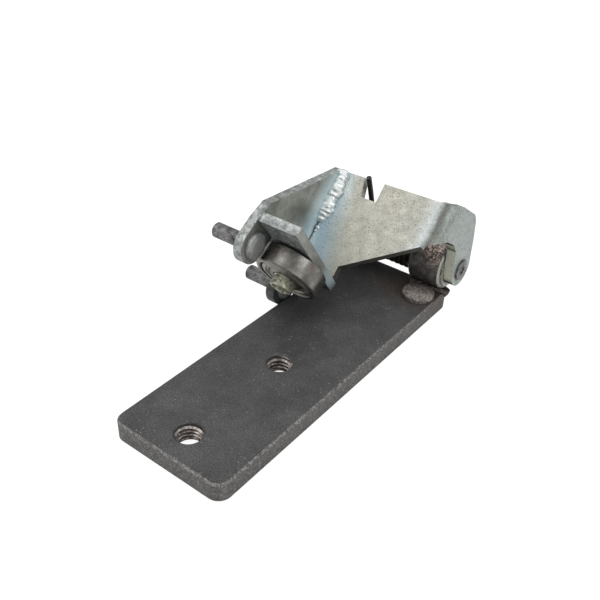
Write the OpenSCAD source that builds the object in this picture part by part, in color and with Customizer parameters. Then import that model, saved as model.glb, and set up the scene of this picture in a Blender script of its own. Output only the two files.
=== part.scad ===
// Sliding door roller: a thick fixing plate with two tapped holes, a hinge
// welded to its far end, and a sprung sheet-metal arm that carries a ball
// bearing as the roller and two plain guide pins. Lengths are millimetres.
// Origin: midway between the two tapped holes, on the plate's underside.
// X runs across the plate, Y along it to the hinge, Z up.

/* [Fixing plate] */
// Width of the plate
plate_w = 40; // [36:0.5:44]
// Thickness of the plate
plate_t = 6.5; // [5:0.5:8]
// Corner radius of the plate
plate_corner_r = 4; // [2:0.5:6]
// Chamfer worn round the plate's edges
plate_edge = 0.6; // [0.3:0.1:1]
// Distance between the two tapped holes
hole_pitch = 38.6; // [30:0.2:44]
// Diameter of the tapped holes
hole_d = 8; // [6:0.5:9]
// Countersink at the mouth of each hole
hole_mouth = 0.4; // [0.2:0.1:0.8]
// Centre of the near hole to the near end of the plate
hole_to_end = 9.7; // [8:0.1:14]
// Centre of the far hole to the far end of the plate
hole_to_hinge_end = 68.7; // [66:0.1:80]

/* [Stop stud] */
// Diameter of the riveted stop stud
stud_d = 10.8; // [8:0.2:12]
// Height of its head over the plate
stud_h = 2.5; // [2:0.1:3]
// Stud centre from the right edge of the plate
stud_from_side = 6.6; // [6:0.1:9]
// Stud centre from the far end of the plate
stud_from_end = 10.2; // [10:0.1:12]
// Diameter of the stud's shank in the plate
stud_shank_d = 6; // [4:0.5:7]

/* [Hinge] */
// Diameter of the hinge pin
pin_d = 8; // [7:0.1:9]
// Outside diameter of the hinge barrels
barrel_od = 17; // [16:0.5:18]
// Length of the right barrel
barrel_right_l = 11.8; // [11:0.2:12.4]
// Length of the left barrel
barrel_left_l = 8; // [6:0.2:8.2]
// Radial running clearance of the pin in the barrels
pin_clear = 0.05; // [0.03:0.01:0.08]
// Hinge axis beyond the far end of the plate
hinge_overhang = 1.5; // [1:0.1:2]
// Depth that the barrels are seated into the plate's end
barrel_seat = 0.4; // [0.2:0.1:0.8]
// Thickness of the thrust washers
washer_t = 0.5; // [0.4:0.05:0.8]
// Outside diameter of the thrust washers
washer_od = 14.4; // [13:0.2:15]
// Height of the peened crown on each end of the hinge pin
pin_crown = 0.7; // [0.4:0.1:1]

/* [Torsion spring] */
// Wire diameter of the spring
wire_d = 1.8; // [1.4:0.1:2]
// Number of turns
spring_turns = 8; // [6:1:8]
// Radial room between the pin and the coil
coil_clear = 0.5; // [0.3:0.1:0.8]
// Height of the long leg's end over the hinge axis
leg_rise = 28.2; // [27:0.2:29]
// Depth that the spring's tang reaches into the right barrel
tang_l = 3; // [2:0.2:4]

/* [Arm sheet] */
// Thickness of the arm's steel sheet
sheet_t = 3.2; // [2.8:0.1:3.4]
// Inside radius of the sheet's bends
bend_r = 2; // [1.5:0.1:2.5]
// Lean of the web from the vertical
web_tilt = 44; // [42:0.5:46]
// Height of the web's top edge over the plate's underside
web_top_z = 41.9; // [40:0.2:43]
// The web's top edge from the far end of the plate, toward the near end
web_setback = 9.7; // [9:0.1:10.5]
// Outer face of the right ear beyond the plate's right edge
ear_out = 2; // [1.6:0.1:2.6]
// Radius of the ears' round ends
ear_r = 6.2; // [5.8:0.1:6.4]
// Side clearance between the carrier plate and the fixing plate
side_clear = 0.6; // [0.5:0.1:1]
// Rise of the web's top edge from the carrier plate to the right ear
web_rise = 0.9; // [0:0.1:1.5]
// Depth of the slit in the web's top edge
slit_depth = 6.4; // [5:0.2:7]
// Width of the slit at its bottom
slit_w = 5.8; // [5.6:0.1:6.2]
// Right side of the slit from the plate's left edge
slit_from_side = 15.6; // [15:0.1:16]
// Width of the open seam between the web and the carrier plate
seam_gap = 0.3; // [0.2:0.05:0.5]
// Length of the weld down the seam
seam_weld_l = 18.4; // [14:0.2:20]

/* [Roller flange] */
// Lean of the flange's face from the vertical
flange_tilt = 34; // [33:0.5:35]
// The flange's right end from the roller's centre
flange_end = 7.6; // [6.6:0.1:8.6]
// Roller centre from the plate's left edge
roller_from_side = 6.4; // [6:0.1:6.8]
// Roller centre over the plate's underside
roller_z = 22.6; // [22.2:0.1:23.4]
// Roller centre from the far end of the plate
roller_setback = 46.6; // [45:0.1:48]
// Thickness of the spacer behind the roller
spacer_t = 0.6; // [0.5:0.1:1]

/* [Ball bearing] */
// Outside diameter of the bearing
bearing_od = 22; // [21:0.5:22]
// Bore of the bearing and diameter of its axle
bearing_bore = 8; // [6:0.5:8]
// Width of the bearing
bearing_w = 7; // [6.6:0.1:7]
// Diameter of the balls over the room between axle and rim
ball_share = 0.557; // [0.53:0.005:0.57]
// Number of balls
ball_count = 7; // [6:1:8]
// Radial clearance of the balls in their races
race_clear = 0.03; // [0.02:0.01:0.05]
// Thickness of the shields
shield_t = 0.3; // [0.2:0.05:0.4]
// How far the axle stands out in front of the bearing
axle_proud = 3.4; // [2.5:0.1:4]

/* [Guide pins] */
// Diameter of the guide pins
guide_d = 5; // [4.5:0.1:5.2]
// Free length of the guide pins beyond the carrier plate
guide_l = 12.4; // [10:0.2:14]
// Diameter of the pins' heads
guide_head_d = 8.8; // [8.2:0.1:9]
// Height of the pins' heads
guide_head_h = 1.8; // [1.4:0.1:2]
// Diameter of the lower pin's head, which passes the plate's edge
guide_low_head_d = 7.6; // [7:0.1:7.8]
// Height of the lower pin's head
guide_low_head_h = 1.2; // [1:0.1:1.3]
// Distance of the upper guide pin from the roller centre along the flange
guide_offset = 14.4; // [14.3:0.1:15]
// Distance of the lower guide pin from the roller centre along the flange
guide_low_offset = 13.7; // [13.5:0.1:13.9]
// Distance of the guide pins in front of the flange's face
guide_front = 6; // [5.4:0.1:6.4]
// Radius of the carrier plate round each guide pin
guide_ear_r = 6; // [5.6:0.1:6.2]

/* [Hidden] */
$fn = 96;

// a small overrun that keeps cutting faces clear of the faces they cut
over = 1;

// a small lap where an arc runs into a straight edge
arc_lap = 0.03;

// plate
near_y = -hole_pitch / 2 - hole_to_end;
far_y = hole_pitch / 2 + hole_to_hinge_end;
plate_l = far_y - near_y;
side_x = plate_w / 2;

// hinge
roller_x = side_x - roller_from_side;
hinge_y = far_y + hinge_overhang;
hinge_z = plate_t + barrel_od / 2 - barrel_seat;
barrel_r = barrel_od / 2;
pin_r = pin_d / 2;
end_play = 0.1;
ear_x = side_x + ear_out;
ear_in_x = ear_x - sheet_t;
carrier_in_x = -side_x - side_clear;
carrier_out_x = carrier_in_x - sheet_t;
right_barrel_x1 = ear_in_x - washer_t - end_play;
right_barrel_x0 = right_barrel_x1 - barrel_right_l;
left_barrel_x0 = carrier_in_x + washer_t + end_play;
left_barrel_x1 = left_barrel_x0 + barrel_left_l;
weld_r = 3.2;
top_weld_r = 2.2;
weld_bite = 0.5;
weld_drop = 2.4;
weld_end = 0.8;
weld_lump_r = 3.4;
weld_lump_back = 1.6;
weld_clear = 0.4;
top_weld_y = hinge_y - sqrt(pow(barrel_r + top_weld_r - weld_bite, 2)
    - pow(hinge_z - plate_t, 2));

// torsion spring
coil_r = pin_r + coil_clear + wire_d / 2;
tang_bend = 0.6;
coil_x0 = left_barrel_x1 + end_play + wire_d / 2;
coil_x1 = right_barrel_x0 - tang_bend - wire_d / 2;
wire_sides = 10;
steps_per_turn = 20;

// arm sheet
web_top_y = far_y - web_setback;
bend_out_r = bend_r + sheet_t;
slit_x = side_x - slit_from_side;
slit_flare = 2.4;
bend_step = 15;
tongue_end = 7.4;
sheet_run = 80;
web_left_x = carrier_in_x + seam_gap;
tongue_x = tongue_end - roller_x;
web_lower_right_w = 14.7;
ear_low_w = 8.2;
ear_top_rise = 2.4;
ear_notch_r = 4.5;
ear_lap = 0.5;
web_corner_w = 30.6;
ear_back = 6.7;
ear_shoulder_r = 7;
ear_centre = [hinge_y + 0.4, hinge_z + 0.2];

// roller flange; in its frame s runs down its face and m out of its front
roller_room = 0.415;
slot_depth = 44;
face_y = cos(flange_tilt);
face_z = sin(flange_tilt);
roller_y = far_y - roller_setback;
roller_mid = spacer_t + bearing_w / 2;
flange_top_s = -20;
flange_low_s = 15.6;
carrier_top_near = [39.6, 44.8];
carrier_peak = [77.8, 42.4];
roller_slot_half = sqrt(pow(bearing_od / 2, 2) - pow(carrier_in_x + roller_x, 2))
    + roller_room;

// guide pins
guide_r = guide_d / 2;
guide_root = 0.4;
guide_shank_r = guide_r + 0.2;

// bearing
axle_r = bearing_bore / 2;
pitch_r = (bearing_od + bearing_bore) / 4;
ball_d = ball_share * (bearing_od - bearing_bore) / 2;
race_r = ball_d / 2 + race_clear;
inner_ring_r = pitch_r - 0.372 * ball_d;
outer_ring_r = pitch_r + 0.449 * ball_d;
shield_inset = 0.35;
cage_t = 0.128 * ball_d;
cage_half = bearing_w / 2 - 1.1;

// tangent length and centre of the arc that rounds one corner of an outline
function unit(v) = v / norm(v);
function corner_cut(a, b, c, r) =
    let (u = unit(a - b), v = unit(c - b), half = acos(u * v) / 2)
    r / tan(half);
function corner_centre(a, b, c, r) =
    let (u = unit(a - b), v = unit(c - b), half = acos(u * v) / 2)
    b + unit(u + v) * r / sin(half);

// convex outline through points, each corner rounded to its own radius
module rounded_outline(points, radii) {
    n = len(points);
    polygon([for (i = [0 : n - 1])
        let (a = points[(i + n - 1) % n], b = points[i], c = points[(i + 1) % n])
        let (cut = corner_cut(a, b, c, radii[i]))
        for (q = [b + unit(a - b) * cut, b + unit(c - b) * cut]) q]);
    for (i = [0 : n - 1])
        if (radii[i] > 0)
            translate(corner_centre(points[(i + n - 1) % n], points[i],
                points[(i + 1) % n], radii[i]))
                circle(r = radii[i] + arc_lap);
}

// places a drawing of the YZ plane at x0 and gives it a thickness along X
module along_x(x0, x1) {
    translate([x0, 0, 0]) rotate([90, 0, 90]) linear_extrude(x1 - x0) children();
}

// a round bar along the hinge axis
module hinge_bar(x0, x1, r) {
    translate([x0, hinge_y, hinge_z]) rotate([0, 90, 0]) cylinder(r = r, h = x1 - x0);
}

// frame of the web: X across, Y up along the sheet, Z out of its front face
module web_frame() {
    translate([0, web_top_y, web_top_z]) rotate([90 - web_tilt, 0, 0]) children();
}

// frame of the roller: Z along its axle out of the flange's front face, Y up
// along the flange, origin on that face
module roller_frame() {
    translate([-roller_x, roller_y + roller_mid * face_y, roller_z + roller_mid * face_z])
        rotate([90 + flange_tilt, 0, 0]) children();
}

// point of the YZ plane that lies s down the flange and m in front of its face
function flange_point(s, m) = [
    roller_y + (roller_mid - m) * face_y + s * face_z,
    roller_z + (roller_mid - m) * face_z - s * face_y];

// fixing plate with chamfered edges, made as two crossed bars and four corners
module chamfered_bar(w, l, t, edge) {
    rotate([90, 0, 0]) translate([0, 0, -l / 2]) linear_extrude(l)
        polygon([[-w / 2 + edge, 0], [w / 2 - edge, 0], [w / 2, edge],
            [w / 2, t - edge], [w / 2 - edge, t], [-w / 2 + edge, t],
            [-w / 2, t - edge], [-w / 2, edge]]);
}

module plate_blank() {
    straight_l = plate_l - 2 * plate_corner_r;
    straight_w = plate_w - 2 * plate_corner_r;
    chamfered_bar(plate_w, straight_l, plate_t, plate_edge);
    rotate([0, 0, 90]) chamfered_bar(plate_l, straight_w, plate_t, plate_edge);
    for (sx = [-1, 1], sy = [-1, 1])
        translate([sx * straight_w / 2, sy * straight_l / 2, 0]) rotate_extrude()
            polygon([[0, 0], [plate_corner_r - plate_edge, 0],
                [plate_corner_r, plate_edge], [plate_corner_r, plate_t - plate_edge],
                [plate_corner_r - plate_edge, plate_t], [0, plate_t]]);
}

module base_plate() {
    color("#4a4a4a") difference() {
        translate([0, (near_y + far_y) / 2, 0]) plate_blank();
        for (sy = [-1, 1]) translate([0, sy * hole_pitch / 2, 0]) {
            translate([0, 0, -over]) cylinder(d = hole_d, h = plate_t + 2 * over);
            translate([0, 0, plate_t - hole_mouth])
                cylinder(d1 = hole_d, d2 = hole_d + 2 * (hole_mouth + over),
                    h = hole_mouth + over);
        }
        stud_place() translate([0, 0, -over])
            cylinder(d = stud_shank_d, h = plate_t + 2 * over);
        hinge_bar(-side_x - over, side_x + over, barrel_r);
    }
}

// places a drawing on the stop stud's axis
module stud_place() {
    translate([side_x - stud_from_side, far_y - stud_from_end, 0]) children();
}

// riveted stud with a low domed head that the arm's web comes down to
module stop_stud() {
    dome_h = stud_h * 0.45;
    rim_h = stud_h - dome_h;
    dome_r = (pow(stud_d / 2, 2) + dome_h * dome_h) / (2 * dome_h);
    color("#7c7471") stud_place() {
        cylinder(d = stud_shank_d, h = plate_t);
        translate([0, 0, plate_t]) cylinder(d = stud_d, h = rim_h);
        translate([0, 0, plate_t + rim_h]) intersection() {
            translate([0, 0, dome_h - dome_r]) sphere(r = dome_r);
            cylinder(d = stud_d, h = dome_h);
        }
    }
}

module hinge_barrel(x0, x1) {
    edge = 0.5;
    color("#2b2624") translate([x0, hinge_y, hinge_z]) rotate([0, 90, 0])
        rotate_extrude()
            polygon([[pin_r + pin_clear, 0], [barrel_r - edge, 0], [barrel_r, edge],
                [barrel_r, x1 - x0 - edge], [barrel_r - edge, x1 - x0],
                [pin_r + pin_clear, x1 - x0]]);
}

module hinge_barrel_right() {
    difference() {
        hinge_barrel(right_barrel_x0, right_barrel_x1);
        translate([right_barrel_x0 - over, hinge_y - coil_r, hinge_z - 1])
            rotate([0, 90, 0]) cylinder(d = wire_d + 0.2, h = tang_l + over + 0.5);
    }
}

module hinge_barrel_left() {
    hinge_barrel(left_barrel_x0, left_barrel_x1);
}

// weld beads in the two grooves between a barrel and the plate's end, with a
// lump at the plate's corner
module barrel_weld(x0, x1, lump_x) {
    color("#3a3330") difference() {
        union() {
            translate([x0, top_weld_y, plate_t]) rotate([0, 90, 0])
                cylinder(r = top_weld_r, h = x1 - x0);
            translate([x0, far_y, plate_t - weld_drop]) rotate([0, 90, 0])
                cylinder(r = weld_r, h = x1 - x0);
            translate([lump_x, far_y - weld_lump_back, plate_t]) sphere(r = weld_lump_r);
        }
        base_plate();
        stud_place() cylinder(d = stud_d + 0.1, h = plate_t + stud_h);
        hinge_bar(-ear_x, ear_x, barrel_r);
        hinge_bar(ear_in_x - weld_clear, ear_x, ear_r + 0.5 + weld_clear);
        translate([-ear_x, near_y, -2 * plate_t])
            cube([2 * ear_x, plate_l * 2, 2 * plate_t]);
    }
}

module barrel_weld_right() {
    barrel_weld(right_barrel_x0 + weld_end, side_x - plate_corner_r,
        side_x - weld_lump_r + weld_end);
}

module barrel_weld_left() {
    barrel_weld(plate_corner_r - side_x, left_barrel_x1 - weld_end, weld_lump_r - side_x);
}

// hinge pin, riveted in both ears, with a low crown and a dimple at each end
module hinge_pin() {
    color("#8a8780") difference() {
        union() {
            hinge_bar(carrier_out_x, ear_x, pin_r);
            hinge_bar(ear_x, ear_x + pin_crown, pin_r - 0.5);
            hinge_bar(carrier_out_x - pin_crown, carrier_out_x, pin_r - 0.5);
        }
        hinge_bar(ear_x + pin_crown - 0.4, ear_x + pin_crown + over, pin_r * 0.4);
        hinge_bar(carrier_out_x - pin_crown - over, carrier_out_x - pin_crown + 0.4,
            pin_r * 0.4);
    }
}

module thrust_washer(x0) {
    color("#b9b6ad") difference() {
        hinge_bar(x0, x0 + washer_t, washer_od / 2);
        hinge_bar(x0 - over, x0 + washer_t + over, pin_r + pin_clear);
    }
}

module washer_right() {
    thrust_washer(right_barrel_x1 + end_play / 2);
}

module washer_left() {
    thrust_washer(carrier_in_x + end_play / 2);
}

// centre line of the spring: the short leg on the plate, the coil, and the
// long leg that stands up into the slit of the web
function coil_point(a) = [
    coil_x1 - (coil_x1 - coil_x0) * a / (360 * spring_turns),
    hinge_y - coil_r * cos(a), hinge_z + coil_r * sin(a)];
coil_points = [for (i = [0 : spring_turns * steps_per_turn])
    coil_point(i * 360 / steps_per_turn)];
tang = [for (d = [tang_l, 0.4, 0])
    [right_barrel_x0 + d - (d > 0 ? 0 : 0.4), hinge_y - coil_r, hinge_z - 1]];
long_leg = [[coil_x0, hinge_y - coil_r - 0.4, hinge_z + leg_rise * 0.3],
    [coil_x0 + 0.6, hinge_y - coil_r - 2.8, hinge_z + leg_rise * 0.66],
    [coil_x0 + 0.8, hinge_y - coil_r - 6.3, hinge_z + leg_rise]];
wire_path = concat(tang, coil_points, long_leg);

// ring of points round a path at point i, square to the path there
function path_dir(p, i) = unit(p[min(i + 1, len(p) - 1)] - p[max(i - 1, 0)]);
function side_dir(t) = unit(cross(t, abs(t[0]) > 0.9 ? [0, 0, 1] : [1, 0, 0]));
function wire_ring(p, i, r, n) =
    let (t = path_dir(p, i), u = side_dir(t), v = cross(t, u))
    [for (k = [0 : n - 1]) p[i] + r * (cos(k * 360 / n) * u + sin(k * 360 / n) * v)];

// round wire swept along a path of points
module swept_wire(p, r, n) {
    points = [for (i = [0 : len(p) - 1]) each wire_ring(p, i, r, n)];
    last = (len(p) - 1) * n;
    faces = concat(
        [[for (k = [0 : n - 1]) k]],
        [for (i = [0 : len(p) - 2], k = [0 : n - 1])
            let (a = i * n + k, b = i * n + (k + 1) % n) [b, a, a + n, b + n]],
        [[for (k = [n - 1 : -1 : 0]) last + k]]);
    polyhedron(points = points, faces = faces, convexity = 6);
}

module torsion_spring() {
    color("#2b2723") swept_wire(wire_path, wire_d / 2, wire_sides);
}

// outline of the web in its own frame, Y up along the sheet
module web_outline() {
    difference() {
        polygon([[web_left_x, 0], [ear_x - bend_out_r, web_rise - 2 * arc_lap],
            [ear_x - bend_out_r, -web_lower_right_w],
            [tongue_x, -web_corner_w], [tongue_x, -tongue_w], [web_left_x, -tongue_w]]);
        polygon([[-slit_x, 2 * over], [-slit_x, -slit_depth],
            [-slit_x - slit_w, -slit_depth], [-slit_x - slit_w - slit_flare, 2 * over]]);
    }
}

// the tongue of the web ends on the back of the flange
tongue_w = let (back = flange_point(0, -sheet_t))
    ((web_top_y - back[0]) * face_y + (web_top_z - back[1]) * face_z)
    / (sin(web_tilt) * face_y + cos(web_tilt) * face_z) - 0.1;

// the ear's edges run on round the bend: depth behind the web's face at angle a
function bend_depth(a) = bend_out_r * (1 - cos(a));
// keeps the corner points off the planes where the bend starts and ends
function bend_lap(a) = a == 0 ? -10 * arc_lap : a == 90 ? 10 * arc_lap : 0;
// the two edges of the sheet round the bend, from the web's face to the ear
top_round_bend = [for (a = [90 : -bend_step : 0])
    web_point(-web_rise - ear_top_rise * pow(a / 90, 2), bend_depth(a) + bend_lap(a))];
low_round_bend = [for (a = [0 : bend_step : 90])
    web_point(web_lower_right_w - (web_lower_right_w - ear_low_w - 1) * a / 90,
        bend_depth(a) + bend_lap(a))];
// corner between the strap behind the bend and the ear's upright front edge
ear_corner = let (y = ear_centre[0] - ear_r,
    b = (y - web_top_y + ear_low_w * sin(web_tilt)) / cos(web_tilt))
    web_point(ear_low_w, b);

// outline of the right ear in the YZ plane
module ear_outline() {
    points = concat([
        ear_centre + [-ear_r, 0], ear_centre + [ear_r, 0],
        [hinge_y + ear_back, hinge_z + 9],
        [hinge_y + ear_back - 0.8, hinge_z + 18.4]],
        top_round_bend, [web_point(-web_rise, -over), web_point(web_lower_right_w, -over)],
        low_round_bend, [web_point(ear_low_w, 2 * bend_out_r), ear_corner]);
    rounded_outline(points,
        [for (i = [0 : len(points) - 1]) i == 3 ? ear_shoulder_r : i == 4 ? 1.5 : 0]);
    translate(ear_centre) circle(r = ear_r);
    corner_fill(web_point(ear_low_w, 2 * bend_out_r), ear_corner, ear_centre - [ear_r, 0],
        ear_notch_r);
}

// fills the inner corner b of an outline, between its neighbours a and c, up
// to an arc of radius r
module corner_fill(a, b, c, r) {
    centre = corner_centre(a, b, c, r);
    cut = corner_cut(a, b, c, r);
    difference() {
        polygon([for (p = [b + unit(a - b) * cut, b + unit(b - centre), b + unit(c - b) * cut])
            p + unit(p - centre) * 0.2]);
        translate(centre) circle(r = r - arc_lap);
    }
}

// point of the YZ plane that lies w down the web and b behind its front face
function web_point(w, b) = [
    web_top_y - w * sin(web_tilt) + b * cos(web_tilt),
    web_top_z - w * cos(web_tilt) - b * sin(web_tilt)];

// web and right ear, bent from one sheet
module arm_web() {
    color("#b5b4a6") difference() {
        intersection() {
            web_frame() translate([0, sheet_run / 4, 0]) rotate([90, 0, 0])
                linear_extrude(sheet_run) sheet_profile();
            union() {
                web_frame() translate([0, 0, -sheet_t - over])
                    linear_extrude(sheet_t + 2 * over) web_outline();
                along_x(ear_x - bend_out_r - ear_lap, ear_x + over) ear_outline();
            }
        }
        hinge_bar(ear_in_x - over, ear_x + over, pin_r);
    }
}

// section of the bent sheet: the web along X and the ear turned back from it
module sheet_profile() {
    bend_x = ear_x - bend_out_r;
    translate([web_left_x, -sheet_t]) square([bend_x - web_left_x, sheet_t]);
    translate([ear_in_x, -sheet_run]) square([sheet_t, sheet_run - bend_out_r]);
    translate([bend_x, -bend_out_r]) intersection() {
        difference() {
            circle(r = bend_out_r);
            circle(r = bend_r);
        }
        square(bend_out_r);
    }
}

// outline of the carrier plate in the YZ plane
module carrier_outline() {
    top_s = guide_s(-1) - guide_ear_r;
    low_s = guide_s(1) + guide_ear_r;
    inner_ear_r = ear_r - 10 * arc_lap;
    difference() {
        union() {
            polygon([flange_point(top_s, guide_front), flange_point(top_s, 0),
                carrier_top_near, carrier_peak,
                ear_centre + inner_ear_r * [cos(18), sin(18)], ear_centre,
                ear_centre + inner_ear_r * [cos(100), -sin(100)],
                flange_point(low_s, 0), flange_point(low_s, guide_front)]);
            for (side = [-1, 1])
                translate(flange_point(guide_s(side), guide_front))
                    circle(r = guide_ear_r + arc_lap);
            translate(ear_centre) circle(r = ear_r);
        }
        polygon([flange_point(-roller_slot_half, 0), flange_point(roller_slot_half, 0),
            flange_point(roller_slot_half, slot_depth),
            flange_point(-roller_slot_half, slot_depth)]);
    }
}

// carrier plate: side wall with the guide pin ears and the left hinge ear
module carrier_plate() {
    color("#8f9590") difference() {
        union() {
            along_x(carrier_out_x, carrier_in_x) carrier_outline();
            roller_flange();
        }
        hinge_bar(carrier_out_x - over, carrier_in_x + over, pin_r);
        for (side = [-1, 1]) guide_bar(side, carrier_out_x - over, carrier_in_x + over,
            guide_shank_r);
        roller_frame() translate([0, 0, -sheet_t - over])
            cylinder(r = axle_r, h = sheet_t + 2 * over);
    }
}

// place of a guide pin along the flange: side is -1 for the upper, 1 for the lower
function guide_s(side) = side < 0 ? -guide_offset : guide_low_offset;

// a round bar along a guide pin
module guide_bar(side, x0, x1, r) {
    p = flange_point(guide_s(side), guide_front);
    translate([x0, p[0], p[1]]) rotate([0, 90, 0]) cylinder(r = r, h = x1 - x0);
}

// flange that stands off the carrier plate and holds the roller's axle
module roller_flange() {
    roller_frame() translate([0, 0, -sheet_t]) linear_extrude(sheet_t)
        polygon([[roller_x + carrier_in_x - sheet_t / 2, -flange_top_s],
            [flange_end, -flange_top_s], [flange_end, -flange_low_s],
            [roller_x + carrier_in_x - sheet_t / 2, -flange_low_s]]);
}

// weld bead down the corner of the web and the carrier plate
module seam_weld() {
    bead_r = 1.8;
    bead_step = 1.9;
    color("#d5e0dd") difference() {
        web_frame() translate([web_left_x, 0, 0.2]) rotate([90, 0, 0])
            rotate_extrude() intersection() {
                for (w = [bead_r : bead_step : seam_weld_l - bead_r])
                    translate([0, w]) circle(r = bead_r);
                square([2 * bead_r, seam_weld_l]);
            }
        web_frame() translate([web_left_x, -80, -80]) cube([60, 90, 80]);
        along_x(carrier_out_x - 5, carrier_in_x)
            translate([near_y, 0]) square([plate_l * 2, 80]);
    }
}

module roller_axle() {
    head_r = axle_r - 0.3;
    lip = 0.9;
    top = spacer_t + bearing_w + axle_proud;
    color("#b4b79a") roller_frame() {
        rotate_extrude() polygon([[0, -sheet_t - 0.7], [axle_r - 0.8, -sheet_t - 0.7],
            [axle_r - 0.3, -sheet_t], [axle_r, -sheet_t], [axle_r, spacer_t + bearing_w],
            [head_r, spacer_t + bearing_w + 0.3], [head_r, top - 0.3],
            [head_r - 0.3, top], [head_r - lip, top], [head_r - lip - 0.5, top - 1],
            [0, top - 1.2]]);
    }
}

module roller_spacer() {
    color("#77756f") roller_frame() difference() {
        cylinder(r = inner_ring_r - 0.4, h = spacer_t);
        translate([0, 0, -over]) cylinder(r = axle_r, h = spacer_t + 2 * over);
    }
}

// places a drawing at the middle of the bearing
module bearing_frame() {
    roller_frame() translate([0, 0, roller_mid]) children();
}

// one bearing ring between two radii, with its race
module bearing_ring(r0, r1) {
    edge = 0.4;
    half = bearing_w / 2;
    bearing_frame() rotate_extrude() difference() {
        polygon([[r0, -half + edge], [r0 + edge, -half], [r1 - edge, -half],
            [r1, -half + edge], [r1, half - edge], [r1 - edge, half],
            [r0 + edge, half], [r0, half - edge]]);
        translate([pitch_r, 0]) circle(r = race_r);
    }
}

module bearing_inner_ring() {
    color("#a8a49c") bearing_ring(axle_r, inner_ring_r);
}

module bearing_outer_ring() {
    color("#b0aaa2") bearing_ring(outer_ring_r, bearing_od / 2);
}

module bearing_balls() {
    color("#d0d0d0") bearing_frame() for (i = [0 : ball_count - 1])
        rotate([0, 0, i * 360 / ball_count]) translate([pitch_r, 0, 0]) sphere(d = ball_d);
}

module bearing_cage() {
    color("#b08d57") bearing_frame() difference() {
        translate([0, 0, -cage_half]) cylinder(r = pitch_r + cage_t, h = 2 * cage_half);
        translate([0, 0, -cage_half - over])
            cylinder(r = pitch_r - cage_t, h = 2 * (cage_half + over));
        for (i = [0 : ball_count - 1])
            rotate([0, 90, i * 360 / ball_count]) translate([0, 0, inner_ring_r])
                cylinder(r = ball_d / 2 + 2 * race_clear, h = outer_ring_r - inner_ring_r);
    }
}

module bearing_shield(side) {
    z = side * (bearing_w / 2 - shield_inset - shield_t / 2);
    color("#8f8b84") bearing_frame() translate([0, 0, z - shield_t / 2]) difference() {
        cylinder(r = outer_ring_r, h = shield_t);
        translate([0, 0, -over]) cylinder(r = inner_ring_r + 0.2, h = shield_t + 2 * over);
    }
}

module bearing_shield_front() {
    bearing_shield(1);
}

module bearing_shield_rear() {
    bearing_shield(-1);
}

// guide pin with a low domed head on the inner side of the carrier plate; the
// shank is thicker in the plate and tapers to the pin at the plate's outer face
module guide_pin(side, head_r, head_h) {
    p = flange_point(guide_s(side), guide_front);
    edge = 0.5;
    tip = -sheet_t - guide_l;
    color("#6d6a6a") translate([carrier_in_x, p[0], p[1]]) rotate([0, 90, 0])
        rotate_extrude() polygon([[0, tip], [guide_r - edge, tip], [guide_r, tip + edge],
            [guide_r, -sheet_t - guide_root], [guide_shank_r, -sheet_t],
            [guide_shank_r, 0], [head_r, 0], [head_r, head_h * 0.55],
            [head_r - 0.5, head_h * 0.8], [head_r - 1.8, head_h], [0, head_h]]);
}

module upper_guide_pin() {
    guide_pin(-1, guide_head_d / 2, guide_head_h);
}

module lower_guide_pin() {
    guide_pin(1, guide_low_head_d / 2, guide_low_head_h);
}

base_plate();
stop_stud();
hinge_barrel_right();
hinge_barrel_left();
barrel_weld_right();
barrel_weld_left();
hinge_pin();
washer_right();
washer_left();
torsion_spring();
arm_web();
carrier_plate();
seam_weld();
roller_axle();
roller_spacer();
bearing_inner_ring();
bearing_outer_ring();
bearing_balls();
bearing_cage();
bearing_shield_front();
bearing_shield_rear();
upper_guide_pin();
lower_guide_pin();
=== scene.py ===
"""Sliding door roller: a thick steel fixing plate with a sprung, hinged arm of
zinc plated sheet that carries a ball bearing roller and two guide pins."""

import logging
import math
from dataclasses import dataclass
from enum import Enum

import bmesh
import bpy
from mathutils import Matrix, Vector, noise


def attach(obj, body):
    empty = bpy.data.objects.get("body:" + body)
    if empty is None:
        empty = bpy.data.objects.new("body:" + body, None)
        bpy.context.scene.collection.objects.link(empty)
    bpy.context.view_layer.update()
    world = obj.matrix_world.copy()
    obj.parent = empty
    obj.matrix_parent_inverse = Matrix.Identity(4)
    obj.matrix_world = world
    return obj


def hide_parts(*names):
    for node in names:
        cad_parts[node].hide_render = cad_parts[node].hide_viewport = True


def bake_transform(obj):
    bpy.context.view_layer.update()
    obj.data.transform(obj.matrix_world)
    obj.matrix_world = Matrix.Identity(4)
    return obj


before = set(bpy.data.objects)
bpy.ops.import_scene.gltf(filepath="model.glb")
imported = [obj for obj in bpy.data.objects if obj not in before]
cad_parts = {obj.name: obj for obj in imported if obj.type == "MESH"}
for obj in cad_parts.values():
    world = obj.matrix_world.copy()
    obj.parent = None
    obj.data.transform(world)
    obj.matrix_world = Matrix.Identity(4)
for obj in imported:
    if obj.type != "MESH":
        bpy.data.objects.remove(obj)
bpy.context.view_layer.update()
LOG = logging.getLogger("door_roller")
MM = 0.001


class Body(Enum):
    """The moving bodies of the roller."""

    BASE = "base"
    ARM = "arm"
    ROLLER = "roller"
    CAGE = "cage"


def linear(hex_colour: str) -> tuple[float, float, float, float]:
    """Turns an sRGB hex colour to linear light.

    Args:
        hex_colour: colour as "#rrggbb".

    Returns:
        Red, green and blue in linear light, and an alpha of 1.
    """
    values = [int(hex_colour[i : i + 2], 16) / 255 for i in (1, 3, 5)]
    light = [v / 12.92 if v <= 0.04045 else ((v + 0.055) / 1.055) ** 2.4 for v in values]
    return (light[0], light[1], light[2], 1.0)


def per_metre(size_mm: float) -> float:
    """Works out the scale of a pattern whose features have a real size.

    Args:
        size_mm: size of one feature in millimetres.

    Returns:
        Features per metre, the unit of the texture nodes' scale here.
    """
    return 1 / (size_mm * MM)


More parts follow.
